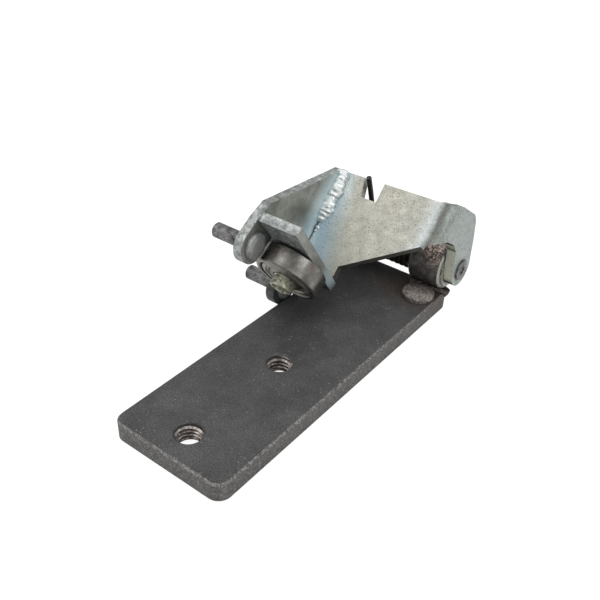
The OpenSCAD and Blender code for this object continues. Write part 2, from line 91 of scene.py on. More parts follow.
def add(tree: bpy.types.NodeTree, kind: str, inputs: dict | None = None, **settings) -> bpy.types.Node:
    """Adds one node with its settings and links.

    Args:
        tree: node tree that takes the node.
        kind: Blender's name for the node's type.
        inputs: values or output sockets by the input's name or number.
        settings: attributes of the node by name.

    Returns:
        The new node.
    """
    node = tree.nodes.new(kind)
    for key, value in settings.items():
        setattr(node, key, value)
    for key, value in (inputs or {}).items():
        if isinstance(value, bpy.types.NodeSocket):
            tree.links.new(value, node.inputs[key])
        else:
            node.inputs[key].default_value = value
    return node


def paint_ramp(node: bpy.types.Node, stops: list[tuple[float, str]]) -> bpy.types.Node:
    """Sets the colours of a colour ramp.

    Args:
        node: the colour ramp node.
        stops: position from 0 to 1 and hex colour of each stop, in order.

    Returns:
        The same node.
    """
    elements = node.color_ramp.elements
    while len(elements) < len(stops):
        elements.new(1.0)
    for element, (place, colour) in zip(elements, stops):
        element.position = place
        element.color = linear(colour)
    return node


@dataclass(frozen=True)
class Metal:
    """A steel surface: its tones, grain, flecks, roughness and relief.

    The subclasses say what each real surface is and add what sets it apart.
    """

    name: str
    tone: str
    dark_tone: str
    light_tone: str
    metallic: float = 0.6
    roughness: float = 0.42
    roughness_spread: float = 0.12
    cloud_mm: float = 7.0
    grain_mm: float = 0.5
    grain_share: float = 0.3
    fleck_mm: float = 0.9
    fleck_tone: str = "#c9c6bd"
    fleck_share: float = 0.0
    pit_mm: float = 1.1
    pit_tone: str = "#5c5a50"
    pit_share: float = 0.0
    relief_mm: float = 0.012
    relief_size_mm: float = 0.6
    # reach and strength of the painted shade that ambient occlusion lays in corners and crevices
    crevice_shade_mm: float = 1.4
    crevice_shade_share: float = 0.55

    def place(self, tree: bpy.types.NodeTree) -> bpy.types.NodeSocket:
        """Gives the point on the surface, in metres, in the frame of the part."""
        return add(tree, "ShaderNodeTexCoord").outputs["Object"]

    def base_tone(self, tree: bpy.types.NodeTree, point: bpy.types.NodeSocket) -> bpy.types.NodeSocket:
        """Gives the colour that lies under grain, pits and flecks."""
        return self.clouds(tree, point)

    def clouds(self, tree: bpy.types.NodeTree, point: bpy.types.NodeSocket) -> bpy.types.NodeSocket:
        """Draws the soft blotches between the dark, middle and light tones."""
        blotch = add(tree, "ShaderNodeTexNoise", {"Vector": point, "Scale": per_metre(self.cloud_mm),
                     "Detail": 4.0, "Roughness": 0.6})
        ramp = add(tree, "ShaderNodeValToRGB", {"Fac": blotch.outputs[0]})
        paint_ramp(ramp, [(0.34, self.dark_tone), (0.5, self.tone), (0.66, self.light_tone)])
        return ramp.outputs["Color"]

    def colour(self, tree: bpy.types.NodeTree, point: bpy.types.NodeSocket) -> bpy.types.NodeSocket:
        """Lays grain, flecks and pits over the base tone, then painted shade in corners and crevices.

        Args:
            tree: the material's node tree.
            point: point on the surface.

        Returns:
            The colour socket for the shader.
        """
        colour = self.base_tone(tree, point)
        grain = add(tree, "ShaderNodeTexNoise", {"Vector": point, "Scale": per_metre(self.grain_mm),
                    "Detail": 3.0, "Roughness": 0.7})
        ramp = add(tree, "ShaderNodeValToRGB", {"Fac": grain.outputs[0]})
        paint_ramp(ramp, [(0.34, "#5c5c5c"), (0.5, "#bcbcbc"), (0.66, "#ffffff")])
        mixed = add(tree, "ShaderNodeMix", {0: self.grain_share, 6: colour, 7: ramp.outputs[0]},
                    data_type="RGBA", blend_type="SOFT_LIGHT")
        colour = mixed.outputs[2]
        for share, size, tone, spread in (
            (self.pit_share, self.pit_mm, self.pit_tone, 0.16),
            (self.fleck_share, self.fleck_mm, self.fleck_tone, 0.13),
        ):
            if share > 0:
                colour = self.spots(tree, point, colour, share, size, tone, spread)
        # painted shade: ambient occlusion darkens corners, crevices and joints towards near black
        corner = add(tree, "ShaderNodeAmbientOcclusion", {"Distance": self.crevice_shade_mm * MM}, samples=4)
        crevice_shade = add(tree, "ShaderNodeMapRange", {0: corner.outputs["AO"], 1: 0.35, 2: 0.85,
                   3: self.crevice_shade_share, 4: 0.0})
        mixed = add(tree, "ShaderNodeMix", {0: crevice_shade.outputs[0], 6: colour, 7: linear("#1d1c1a")},
                    data_type="RGBA")
        return mixed.outputs[2]

    def spots(self, tree: bpy.types.NodeTree, point: bpy.types.NodeSocket,
              under: bpy.types.NodeSocket, share: float, size_mm: float, tone: str,
              spread: float) -> bpy.types.NodeSocket:
        """Scatters small spots of one tone, in loose groups, over a colour.

        Args:
            tree: the material's node tree.
            point: point on the surface.
            under: the colour that the spots lie on.
            share: how much of the surface takes part, from 0 to 1.
            size_mm: distance between spots in millimetres.
            tone: hex colour of the spots.
            spread: radius of a spot as a share of that distance.

        Returns:
            The colour socket with the spots.
        """
        cells = add(tree, "ShaderNodeTexVoronoi", {"Vector": point, "Scale": per_metre(size_mm)})
        dot = add(tree, "ShaderNodeMapRange", {0: cells.outputs["Distance"], 1: spread * 1.6,
                  2: spread * 0.5, 3: 0.0, 4: 1.0})
        group = add(tree, "ShaderNodeTexNoise", {"Vector": point, "Scale": per_metre(size_mm * 3.1),
                    "Detail": 3.0, "Roughness": 0.7})
        where = add(tree, "ShaderNodeMapRange", {0: group.outputs[0], 1: 0.7 - 0.4 * share,
                    2: 0.82 - 0.4 * share, 3: 0.0, 4: 0.85})
        both = add(tree, "ShaderNodeMath", {0: dot.outputs[0], 1: where.outputs[0]}, operation="MULTIPLY")
        mixed = add(tree, "ShaderNodeMix", {0: both.outputs[0], 6: under, 7: linear(tone)},
                    data_type="RGBA")
        return mixed.outputs[2]

    def relief(self, tree: bpy.types.NodeTree, point: bpy.types.NodeSocket) -> bpy.types.NodeSocket:
        """Gives the fine bumps of the surface as a bent normal."""
        height = add(tree, "ShaderNodeTexNoise", {"Vector": point,
                     "Scale": per_metre(self.relief_size_mm), "Detail": 5.0, "Roughness": 0.65})
        bump = add(tree, "ShaderNodeBump", {"Height": height.outputs[0], "Strength": 1.0,
                   "Distance": self.relief_mm * MM * 4})
        return bump.outputs[0]

    def build(self) -> bpy.types.Material:
        """Makes the material.

        Returns:
            The finished material.
        """
        material = bpy.data.materials.new(self.name)
        material.use_nodes = True
        tree = material.node_tree
        shader = tree.nodes["Principled BSDF"]
        shader.inputs["Metallic"].default_value = self.metallic
        point = self.place(tree)
        tree.links.new(self.colour(tree, point), shader.inputs["Base Color"])
        haze = add(tree, "ShaderNodeTexNoise", {"Vector": point,
                   "Scale": per_metre(self.cloud_mm * 0.4), "Detail": 4.0})
        rough = add(tree, "ShaderNodeMapRange", {0: haze.outputs[0], 1: 0.3, 2: 0.7,
                    3: self.roughness - self.roughness_spread,
                    4: self.roughness + self.roughness_spread})
        tree.links.new(rough.outputs[0], shader.inputs["Roughness"])
        tree.links.new(self.relief(tree, point), shader.inputs["Normal"])
        return material


@dataclass(frozen=True)
class MillScalePlate(Metal):
    """Hot rolled plate with its dark mill scale: cut sides lighter and brown,
    with a straw and brown heat tint round the hinge's weld, and a lighter arris that is partly wear and
    partly a painted highlight."""

    side_tone: str = "#5d5b59"
    side_dark: str = "#454443"
    side_light: str = "#8e8b88"
    # tone of the top arris: partly edge wear, partly painted highlight
    arris_wear_highlight_tone: str = "#a5a29d"
    hole_y_mm: float = 19.3
    tint_tone: str = "#4d382b"
    tint_at_mm: tuple[float, float, float] = (10.0, 83.0, 6.5)
    tint_reach_mm: float = 17.0

    def base_tone(self, tree: bpy.types.NodeTree, point: bpy.types.NodeSocket) -> bpy.types.NodeSocket:
        """Mixes the scaled faces, the cut sides, the arris's wear and painted highlight, and the heat tint.
        """
        scale = self.clouds(tree, point)
        facing = add(tree, "ShaderNodeSeparateXYZ", {0: add(tree, "ShaderNodeTexCoord").outputs["Normal"]})
        upright = add(tree, "ShaderNodeMath", {0: facing.outputs[2]}, operation="ABSOLUTE")
        flank = add(tree, "ShaderNodeMapRange", {0: upright.outputs[0], 1: 0.9, 2: 0.6, 3: 0.0, 4: 0.92})
        folded = add(tree, "ShaderNodeVectorMath", {0: point}, operation="ABSOLUTE")
        from_hole = add(tree, "ShaderNodeVectorMath", {0: folded.outputs[0],
                        1: (0.0, self.hole_y_mm * MM, 0.0065)}, operation="DISTANCE")
        rim = add(tree, "ShaderNodeMapRange", {0: from_hole.outputs["Value"], 1: 0.008, 2: 0.0085})
        side = add(tree, "ShaderNodeMath", {0: flank.outputs[0], 1: rim.outputs[0]}, operation="MULTIPLY")
        torn = add(tree, "ShaderNodeTexNoise", {"Vector": point, "Scale": per_metre(1.0),
                   "Detail": 6.0, "Roughness": 0.8})
        cut = paint_ramp(add(tree, "ShaderNodeValToRGB", {"Fac": torn.outputs[0]}),
                         [(0.36, self.side_dark), (0.52, self.side_tone), (0.68, self.side_light)])
        sided = add(tree, "ShaderNodeMix", {0: side.outputs[0], 6: scale, 7: cut.outputs[0]},
                    data_type="RGBA")
        # painted highlight along the chamfered top arris, broken up by noise, partly edge wear
        slope = add(tree, "ShaderNodeMapRange", {0: upright.outputs[0], 1: 0.5, 2: 0.7, 3: 0.0, 4: 1.0})
        rise = add(tree, "ShaderNodeMapRange", {0: upright.outputs[0], 1: 0.97, 2: 0.85, 3: 0.0, 4: 1.0})
        chips = add(tree, "ShaderNodeTexNoise", {"Vector": point, "Scale": per_metre(0.8),
                    "Detail": 5.0, "Roughness": 0.8})
        chip_breakup = add(tree, "ShaderNodeMapRange", {0: chips.outputs[0], 1: 0.42, 2: 0.66, 3: 0.0, 4: 0.8})
        edge = add(tree, "ShaderNodeMath", {0: slope.outputs[0], 1: rise.outputs[0]}, operation="MULTIPLY")
        outer = add(tree, "ShaderNodeMath", {0: edge.outputs[0], 1: rim.outputs[0]}, operation="MULTIPLY")
        arris_wear_highlight = add(tree, "ShaderNodeMath", {0: outer.outputs[0], 1: chip_breakup.outputs[0]}, operation="MULTIPLY")
        sided = add(tree, "ShaderNodeMix", {0: arris_wear_highlight.outputs[0], 6: sided.outputs[2],
                    7: linear(self.arris_wear_highlight_tone)}, data_type="RGBA")
        centre = tuple(v * MM for v in self.tint_at_mm)
        reach = add(tree, "ShaderNodeVectorMath", {0: point, 1: centre}, operation="DISTANCE")
        near = add(tree, "ShaderNodeMapRange", {0: reach.outputs["Value"], 1: self.tint_reach_mm * MM,
                   2: 0.004, 3: 0.0, 4: 0.65})
        tinted = add(tree, "ShaderNodeMix", {0: near.outputs[0], 6: sided.outputs[2],
                     7: linear(self.tint_tone)}, data_type="RGBA")
        return tinted.outputs[2]


@dataclass(frozen=True)
class ZincWeb(Metal):
    """Zinc plated sheet of the web and ear: dull warm grey, blue next to the
    weld where the heat ran, with painted shade and a painted highlight across the bend."""

    # painted shade on cut edges that face down, painted light on cut edges that face the front
    shaded_edge_tone: str = "#3a3a36"
    lit_front_edge_tone: str = "#dfe2cf"
    speck_tone: str = "#6c7676"
    # heat tint next to the weld, then a painted highlight (15.9 mm) and painted shade (17.2 to 19.7 mm)
    # across the bend
    tint_and_bend_shading_by_x_mm: tuple[tuple[float, str], ...] = (
        (-20.3, "#dfeef4"), (-18.6, "#bcd8e8"), (-15.6, "#b7d0e0"), (-12.0, "#b0bcbd"),
        (-8.5, "#a9a89e"), (4.0, "#a9a79c"), (12.5, "#aaaaa3"), (15.9, "#c3cacb"),
        (17.2, "#98a1a3"), (18.4, "#3c4242"), (19.7, "#545b5a"), (21.2, "#a4afad"))

    def base_tone(self, tree: bpy.types.NodeTree, point: bpy.types.NodeSocket) -> bpy.types.NodeSocket:
        """Runs the tones across the sheet, with wavy borders, over the clouds, then paints shade on the cut
        edges that face down and light on those that face the front.
        """
        wave = add(tree, "ShaderNodeTexNoise", {"Vector": point, "Scale": per_metre(9.0), "Detail": 3.0})
        place = add(tree, "ShaderNodeSeparateXYZ", {0: point})
        shift = add(tree, "ShaderNodeMath", {0: wave.outputs[0], 1: 0.0035, 2: -0.00175},
                    operation="MULTIPLY_ADD")
        left = add(tree, "ShaderNodeMapRange", {0: place.outputs[0], 1: 4 * MM, 2: -8 * MM})
        height = add(tree, "ShaderNodeMath", {0: place.outputs[2], 1: 0.28, 2: -0.28 * 25 * MM},
                     operation="MULTIPLY_ADD")
        slant = add(tree, "ShaderNodeMath", {0: left.outputs[0], 1: height.outputs[0],
                    2: shift.outputs[0]}, operation="MULTIPLY_ADD")
        across = add(tree, "ShaderNodeMath", {0: place.outputs[0], 1: slant.outputs[0]}, operation="ADD")
        first, last = self.tint_and_bend_shading_by_x_mm[0][0], self.tint_and_bend_shading_by_x_mm[-1][0]
        share = add(tree, "ShaderNodeMapRange", {0: across.outputs[0], 1: first * MM, 2: last * MM})
        ramp = add(tree, "ShaderNodeValToRGB", {"Fac": share.outputs[0]})
        paint_ramp(ramp, [((x - first) / (last - first), tone) for x, tone in self.tint_and_bend_shading_by_x_mm])
        mixed = add(tree, "ShaderNodeMix", {0: 0.28, 6: ramp.outputs[0], 7: self.clouds(tree, point)},
                    data_type="RGBA")
        facing = add(tree, "ShaderNodeSeparateXYZ", {0: add(tree, "ShaderNodeTexCoord").outputs["Normal"]})
        speck = add(tree, "ShaderNodeTexNoise", {"Vector": point, "Scale": per_metre(1.0),
                    "Detail": 5.0, "Roughness": 0.85})
        dense = add(tree, "ShaderNodeMapRange", {0: speck.outputs[0], 1: 0.47, 2: 0.62})
        turned = add(tree, "ShaderNodeMapRange", {0: facing.outputs[0], 1: 0.2, 2: 0.8, 3: 0.0, 4: 0.6})
        dull = add(tree, "ShaderNodeMath", {0: dense.outputs[0], 1: turned.outputs[0]}, operation="MULTIPLY")
        mixed = add(tree, "ShaderNodeMix", {0: dull.outputs[0], 6: mixed.outputs[2],
                    7: linear(self.speck_tone)}, data_type="RGBA")
        # painted shade on the tongue's slanted cut edge, which faces right
        right_facing = add(tree, "ShaderNodeMapRange", {0: facing.outputs[0], 1: 0.6, 2: 0.9, 3: 0.0, 4: 0.85})
        tongue = add(tree, "ShaderNodeMapRange", {0: place.outputs[2], 1: 0.024, 2: 0.021})
        inward = add(tree, "ShaderNodeMapRange", {0: place.outputs[0], 1: 0.012, 2: 0.008})
        low = add(tree, "ShaderNodeMath", {0: tongue.outputs[0], 1: inward.outputs[0]}, operation="MULTIPLY")
        shade = add(tree, "ShaderNodeMath", {0: right_facing.outputs[0], 1: low.outputs[0]}, operation="MULTIPLY")
        mixed = add(tree, "ShaderNodeMix", {0: shade.outputs[0], 6: mixed.outputs[2],
                    7: linear(self.shaded_edge_tone)}, data_type="RGBA")
        # painted shade on cut edges that face down, painted light on cut edges that face the front
        for axis, start, end, tone in ((2, -0.25, -0.6, self.shaded_edge_tone),
                                       (1, -0.8, -0.95, self.lit_front_edge_tone)):
            edge = add(tree, "ShaderNodeMapRange", {0: facing.outputs[axis], 1: start, 2: end,
                       3: 0.0, 4: 0.9})
            mixed = add(tree, "ShaderNodeMix", {0: edge.outputs[0], 6: mixed.outputs[2],
                        7: linear(tone)}, data_type="RGBA")
        return mixed.outputs[2]


@dataclass(frozen=True)
class ZincCarrier(Metal):
    """Zinc plated sheet of the carrier plate: stained faces, bright sheared rims, painted shade low down."""

    rim_tone: str = "#9ba09e"
    rim_dark: str = "#666a69"
    stain_tone: str = "#5c5d57"
    heat_tone: str = "#cfe4ea"
    seam_side: tuple[float, float, float] = (0.0, 0.7193398, -0.6946584)
    seam_at_mm: tuple[float, float] = (17.0, 25.5)
    seam_fade_mm: tuple[float, float] = (28.6, 34.0)
    # painted shade: near black tone and centre of the darkened lower lobe
    lobe_shade_tone: str = "#2c2d29"
    lobe_shade_at_mm: tuple[float, float, float] = (-22.0, 47.5, 9.0)

    def base_tone(self, tree: bpy.types.NodeTree, point: bpy.types.NodeSocket) -> bpy.types.NodeSocket:
        """Mixes the stained faces with the bright rims, then paints shade on the lower lobe and the low end
        of the flange.
        """
        clouds = self.clouds(tree, point)
        blot = add(tree, "ShaderNodeTexNoise", {"Vector": point, "Scale": per_metre(16.0), "Detail": 2.0})
        deep = add(tree, "ShaderNodeMapRange", {0: blot.outputs[0], 1: 0.5, 2: 0.68, 3: 0.0, 4: 0.75})
        stained = add(tree, "ShaderNodeMix", {0: deep.outputs[0], 6: clouds, 7: linear(self.stain_tone)},
                      data_type="RGBA")
        across = add(tree, "ShaderNodeVectorMath", {0: point, 1: self.seam_side}, operation="DOT_PRODUCT")
        heat = add(tree, "ShaderNodeMapRange", {0: across.outputs["Value"], 1: self.seam_at_mm[0] * MM,
                   2: self.seam_at_mm[1] * MM, 3: 0.0, 4: 0.85})
        behind = add(tree, "ShaderNodeMapRange", {0: across.outputs["Value"],
                     1: self.seam_fade_mm[0] * MM, 2: self.seam_fade_mm[1] * MM, 3: 1.0, 4: 0.0})
        heat = add(tree, "ShaderNodeMath", {0: heat.outputs[0], 1: behind.outputs[0]},
                   operation="MULTIPLY")
        stained = add(tree, "ShaderNodeMix", {0: heat.outputs[0], 6: stained.outputs[2],
                      7: linear(self.heat_tone)}, data_type="RGBA")
        facing = add(tree, "ShaderNodeSeparateXYZ", {0: add(tree, "ShaderNodeTexCoord").outputs["Normal"]})
        flat = add(tree, "ShaderNodeMath", {0: facing.outputs[0]}, operation="ABSOLUTE")
        rim = add(tree, "ShaderNodeMapRange", {0: flat.outputs[0], 1: 0.8, 2: 0.2, 3: 0.0, 4: 0.9})
        torn = add(tree, "ShaderNodeTexNoise", {"Vector": point, "Scale": per_metre(2.2),
                   "Detail": 6.0, "Roughness": 0.7})
        sheared = paint_ramp(add(tree, "ShaderNodeValToRGB", {"Fac": torn.outputs[0]}),
                             [(0.36, self.rim_dark), (0.52, self.rim_tone), (0.66, "#cdd2cf")])
        mixed = add(tree, "ShaderNodeMix", {0: rim.outputs[0], 6: stained.outputs[2],
                    7: sheared.outputs[0]}, data_type="RGBA")
        # painted shade: the lower lobe round the pin and the low end of the flange turn near black
        reach = add(tree, "ShaderNodeVectorMath", {0: point, 1: tuple(v * MM for v in self.lobe_shade_at_mm)},
                    operation="DISTANCE")
        lobe = add(tree, "ShaderNodeMapRange", {0: reach.outputs["Value"], 1: 0.0115, 2: 0.007,
                   3: 0.0, 4: 0.85})
        place = add(tree, "ShaderNodeSeparateXYZ", {0: point})
        deep = add(tree, "ShaderNodeMapRange", {0: place.outputs[2], 1: 0.0165, 2: 0.0125, 3: 0.0, 4: 0.75})
        flange = add(tree, "ShaderNodeMapRange", {0: place.outputs[0], 1: -0.0202, 2: -0.0192})
        end = add(tree, "ShaderNodeMath", {0: deep.outputs[0], 1: flange.outputs[0]}, operation="MULTIPLY")
        lower_shade = add(tree, "ShaderNodeMath", {0: lobe.outputs[0], 1: end.outputs[0]}, operation="MAXIMUM")
        mixed = add(tree, "ShaderNodeMix", {0: lower_shade.outputs[0], 6: mixed.outputs[2],
                    7: linear(self.lobe_shade_tone)}, data_type="RGBA")
        return mixed.outputs[2]


@dataclass(frozen=True)
class ScaledTube(Metal):
    """Hinge barrel of hot finished tube: near black scale, rubbed to bronze on
    its upper right, with clean turned end faces."""

    rub_tone: str = "#f6dccb"
    end_tone: str = "#a8aaa2"
    rub_at_mm: tuple[float, float, float] = (14.8, 84.2, 21.5)
    rub_reach_mm: float = 6.4

    def base_tone(self, tree: bpy.types.NodeTree, point: bpy.types.NodeSocket) -> bpy.types.NodeSocket:
        """Mixes the scale, the rubbed patch and the turned end faces."""
        scale = self.clouds(tree, point)
        centre = tuple(v * MM for v in self.rub_at_mm)
        reach = add(tree, "ShaderNodeVectorMath", {0: point, 1: centre}, operation="DISTANCE")
        near = add(tree, "ShaderNodeMapRange", {0: reach.outputs["Value"], 1: self.rub_reach_mm * MM,
                   2: 0.0015, 3: 0.0, 4: 1.0})
        scratch = add(tree, "ShaderNodeTexNoise", {"Vector": point, "Scale": per_metre(0.9),
                      "Detail": 5.0, "Roughness": 0.8, "Distortion": 0.6})
        torn = add(tree, "ShaderNodeMapRange", {0: scratch.outputs[0], 1: 0.48, 2: 0.57, 3: 0.0, 4: 1.0})
        rub = add(tree, "ShaderNodeMath", {0: near.outputs[0], 1: torn.outputs[0]}, operation="MULTIPLY")
        rubbed = add(tree, "ShaderNodeMix", {0: rub.outputs[0], 6: scale, 7: linear(self.rub_tone)},
                     data_type="RGBA")
        facing = add(tree, "ShaderNodeSeparateXYZ", {0: add(tree, "ShaderNodeTexCoord").outputs["Normal"]})
        end = add(tree, "ShaderNodeMath", {0: facing.outputs[0]}, operation="ABSOLUTE")
        ends = add(tree, "ShaderNodeMapRange", {0: end.outputs[0], 1: 0.5, 2: 0.7, 3: 0.0, 4: 0.9})
        mixed = add(tree, "ShaderNodeMix", {0: ends.outputs[0], 6: rubbed.outputs[2],
                    7: linear(self.end_tone)}, data_type="RGBA")
        return mixed.outputs[2]


@dataclass(frozen=True)
class GroundSteel(Metal):
    """Hardened bearing steel, ground round its axis, so that fine rings run
    along the surface; stained brown where it has rolled on a greasy rail."""

    axis: tuple[float, float, float] = (0.0, -0.8290376, -0.5591929)
    ring_mm: float = 0.22
    stain_tone: str = "#93807a"

    def base_tone(self, tree: bpy.types.NodeTree, point: bpy.types.NodeSocket) -> bpy.types.NodeSocket:
        """Draws the ground rings and the brown stains over the clouds."""
        along = add(tree, "ShaderNodeVectorMath", {0: point, 1: self.axis}, operation="DOT_PRODUCT")
        rings = add(tree, "ShaderNodeTexNoise", {"W": along.outputs["Value"],
                    "Scale": per_metre(self.ring_mm), "Detail": 4.0, "Roughness": 0.7},
                    noise_dimensions="1D")
        lines = paint_ramp(add(tree, "ShaderNodeValToRGB", {"Fac": rings.outputs[0]}),
                           [(0.3, "#8c8c8c"), (0.7, "#ececec")])
        ground = add(tree, "ShaderNodeMix", {0: 0.45, 6: self.clouds(tree, point), 7: lines.outputs[0]},
                     data_type="RGBA", blend_type="SOFT_LIGHT")
        blot = add(tree, "ShaderNodeTexNoise", {"Vector": point, "Scale": per_metre(5.0), "Detail": 4.0})
        where = add(tree, "ShaderNodeMapRange", {0: blot.outputs[0], 1: 0.55, 2: 0.72, 3: 0.0, 4: 0.4})
        mixed = add(tree, "ShaderNodeMix", {0: where.outputs[0], 6: ground.outputs[2],
                    7: linear(self.stain_tone)}, data_type="RGBA")
        return mixed.outputs[2]


@dataclass(frozen=True)
class HeadedPin(Metal):
    """Guide pin: a dull drawn shank with oil in its scratches, and a head that
    cold forming left smoother and lighter."""

    head_tone: str = "#a9abaa"
    head_x_mm: float = -20.7

    def base_tone(self, tree: bpy.types.NodeTree, point: bpy.types.NodeSocket) -> bpy.types.NodeSocket:
        """Mixes the dull shank and the lighter head."""
        shank = self.clouds(tree, point)
        place = add(tree, "ShaderNodeSeparateXYZ", {0: point})
        head = add(tree, "ShaderNodeMapRange", {0: place.outputs[0], 1: self.head_x_mm * MM,
                   2: self.head_x_mm * MM + 0.0002, 3: 0.0, 4: 0.7})
        mixed = add(tree, "ShaderNodeMix", {0: head.outputs[0], 6: shank, 7: linear(self.head_tone)},
                    data_type="RGBA")
        return mixed.outputs[2]


class Finish(Enum):
    """The finishes of the roller's pieces."""

    # hot rolled plate, dark scale with a thin oil film: soft, low gloss
    PLATE = MillScalePlate("hot_rolled_plate", "#4d4d4d", "#454646", "#555555", metallic=0.35,
                           roughness=0.5, cloud_mm=9.0, grain_mm=0.34, grain_share=0.85,
                           fleck_mm=1.2, fleck_tone="#aba8a2", fleck_share=0.5, relief_mm=0.03,
                           relief_size_mm=0.4)
    # peened mild steel head, hammered: rough with bright and bronze flecks
    STUD = Metal("peened_steel", "#8f8782", "#6b645f", "#b5ada7", metallic=0.6, roughness=0.45,
                 cloud_mm=0.8, grain_mm=0.3, grain_share=0.9, fleck_mm=0.7, fleck_tone="#fff0e6",
                 fleck_share=0.95, relief_mm=0.03, relief_size_mm=0.5)
    # hot finished steel tube
    BARREL = ScaledTube("hot_finished_tube", "#5d5957", "#434140", "#7a746f", metallic=0.45,
                        roughness=0.42, cloud_mm=3.0, grain_mm=0.5, grain_share=0.5,
                        fleck_mm=0.9, fleck_tone="#8d7468", fleck_share=0.3, relief_mm=0.02)
    # weld left under its own scale: dark, lumpy, brown
    DARK_WELD = Metal("scaled_weld", "#4a433f", "#2d2826", "#6d655f", metallic=0.45, roughness=0.5,
                      cloud_mm=1.6, grain_mm=0.4, grain_share=0.6, fleck_mm=0.9,
                      fleck_tone="#97897e", fleck_share=0.5, relief_mm=0.06)
    # turned mild steel, dulled by handling
    TURNED = Metal("turned_steel", "#747374", "#4a4949", "#9b9999", metallic=0.6, roughness=0.42,
                   cloud_mm=2.6, grain_mm=0.45, grain_share=0.55, fleck_mm=1.2,
                   fleck_tone="#b5b0ae", fleck_share=0.35, relief_mm=0.02)
    # drawn steel guide pins with cold formed heads
    GUIDE = HeadedPin("drawn_steel_pin", "#6b6a6b", "#454445", "#8e8c8d", metallic=0.6,
                      roughness=0.4, cloud_mm=2.4, grain_mm=0.4, grain_share=0.6, fleck_mm=1.2,
                      fleck_tone="#b5b0ae", fleck_share=0.35, relief_mm=0.02)
    # bright stamped steel washers
    WASHER = Metal("stamped_steel", "#b7b6ae", "#8f8e86", "#cfcec7", metallic=0.7, roughness=0.35,
                   cloud_mm=2.0)
    # oil hardened spring wire, black oxide
    SPRING = Metal("spring_wire", "#2f2b27", "#1f1c1a", "#443e38", metallic=0.4, roughness=0.4,
                   cloud_mm=2.0, grain_mm=0.4, fleck_mm=1.0, fleck_tone="#7a7064", fleck_share=0.25)
    # zinc plated and passivated sheet
    WEB = ZincWeb("zinc_plated_sheet", "#a7a699", "#959487", "#b6b5a8", metallic=0.55,
                  roughness=0.42, cloud_mm=6.0, grain_mm=0.34, grain_share=0.5, fleck_mm=0.75,
                  fleck_tone="#7b807c", fleck_share=0.45, pit_mm=1.0, pit_share=0.75,
                  pit_tone="#4a483f", relief_mm=0.02, relief_size_mm=0.45)
    CARRIER = ZincCarrier("zinc_plated_carrier", "#969892", "#7b7d78", "#adb0ab", metallic=0.55,
                          roughness=0.42, cloud_mm=6.0, grain_mm=0.42, grain_share=0.4,
                          pit_mm=1.3, pit_share=0.35, pit_tone="#55544d", relief_mm=0.012)
    # bright arc weld, silver with blue edges
    SEAM = Metal("bright_weld", "#dbe5e3", "#a9bdc4", "#f4f8f7", metallic=0.7, roughness=0.3,
                 cloud_mm=1.8, grain_mm=0.4, grain_share=0.35, relief_mm=0.035,
                 relief_size_mm=0.8)
    # yellow passivated zinc on the axle
    AXLE = Metal("yellow_passivated_zinc", "#a6a795", "#5f604c", "#d6d7c6", metallic=0.6,
                 roughness=0.36, cloud_mm=2.4, grain_mm=0.4, grain_share=0.4, relief_mm=0.02)
    # ground and hardened bearing steel
    RING = GroundSteel("ground_bearing_steel", "#6a6964", "#504f4b", "#878580", metallic=0.85,
                       roughness=0.3, roughness_spread=0.08, cloud_mm=6.0, grain_mm=0.4,
                       grain_share=0.2, relief_mm=0.004)
    # pressed steel dust shield with a film of old grease
    SHIELD = Metal("pressed_steel_shield", "#8f8a80", "#6c675f", "#aaa59a", metallic=0.6,
                   roughness=0.36, cloud_mm=3.0, grain_mm=0.4, grain_share=0.4, relief_mm=0.008)
    # polished chrome steel balls
    BALL = Metal("polished_ball_steel", "#d3d3d1", "#c3c3c1", "#e0e0de", metallic=1.0,
                 roughness=0.1, roughness_spread=0.03, relief_mm=0.001)
    # riveted strip steel of the ball cage
    CAGE = Metal("strip_steel_cage", "#a39a86", "#857d6c", "#bbb39f", metallic=0.7, roughness=0.35)
    # freshly cut thread flanks, bright crests with a rust blush
    THREAD = Metal("cut_thread", "#8f8681", "#5c5551", "#c2b8b2", metallic=0.7, roughness=0.3,
                   cloud_mm=1.6, grain_mm=0.4, grain_share=0.5, relief_mm=0.01)

    def material(self) -> bpy.types.Material:
        """Gives the finish's material, made the first time it is asked for."""
        return bpy.data.materials.get(self.value.name) or self.value.build()


def dress(piece: bpy.types.Object, finish: Finish) -> bpy.types.Object:
    """Gives a piece its only material.

    Args:
        piece: mesh object.
        finish: the finish it takes.

    Returns:
        The same object.
    """
    piece.data.materials.clear()
    piece.data.materials.append(finish.material())
    return piece


def dress_node(name: str, finish: Finish, edge_mm: float = 0.0) -> bpy.types.Object:
    """Gives a carried-over solid its finish and breaks its sharp edges.

    Args:
        name: name of the solid.
        finish: the finish it takes.
        edge_mm: width of the broken edge in millimetres, or 0 for none.

    Returns:
        The solid's object.
    """
    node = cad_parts[name]
    for place in node.material_slots:
        place.material = finish.material()
    if not node.material_slots:
        node.data.materials.append(finish.material())
    if edge_mm > 0:
        bevel = node.modifiers.new("broken_edge", "BEVEL")
        bevel.width = edge_mm * MM
        bevel.segments = 2
        bevel.limit_method = "ANGLE"
        bevel.angle_limit = math.radians(38)
        bevel.harden_normals = False
    LOG.info("dressed %s with %s", name, finish.name)
    return node


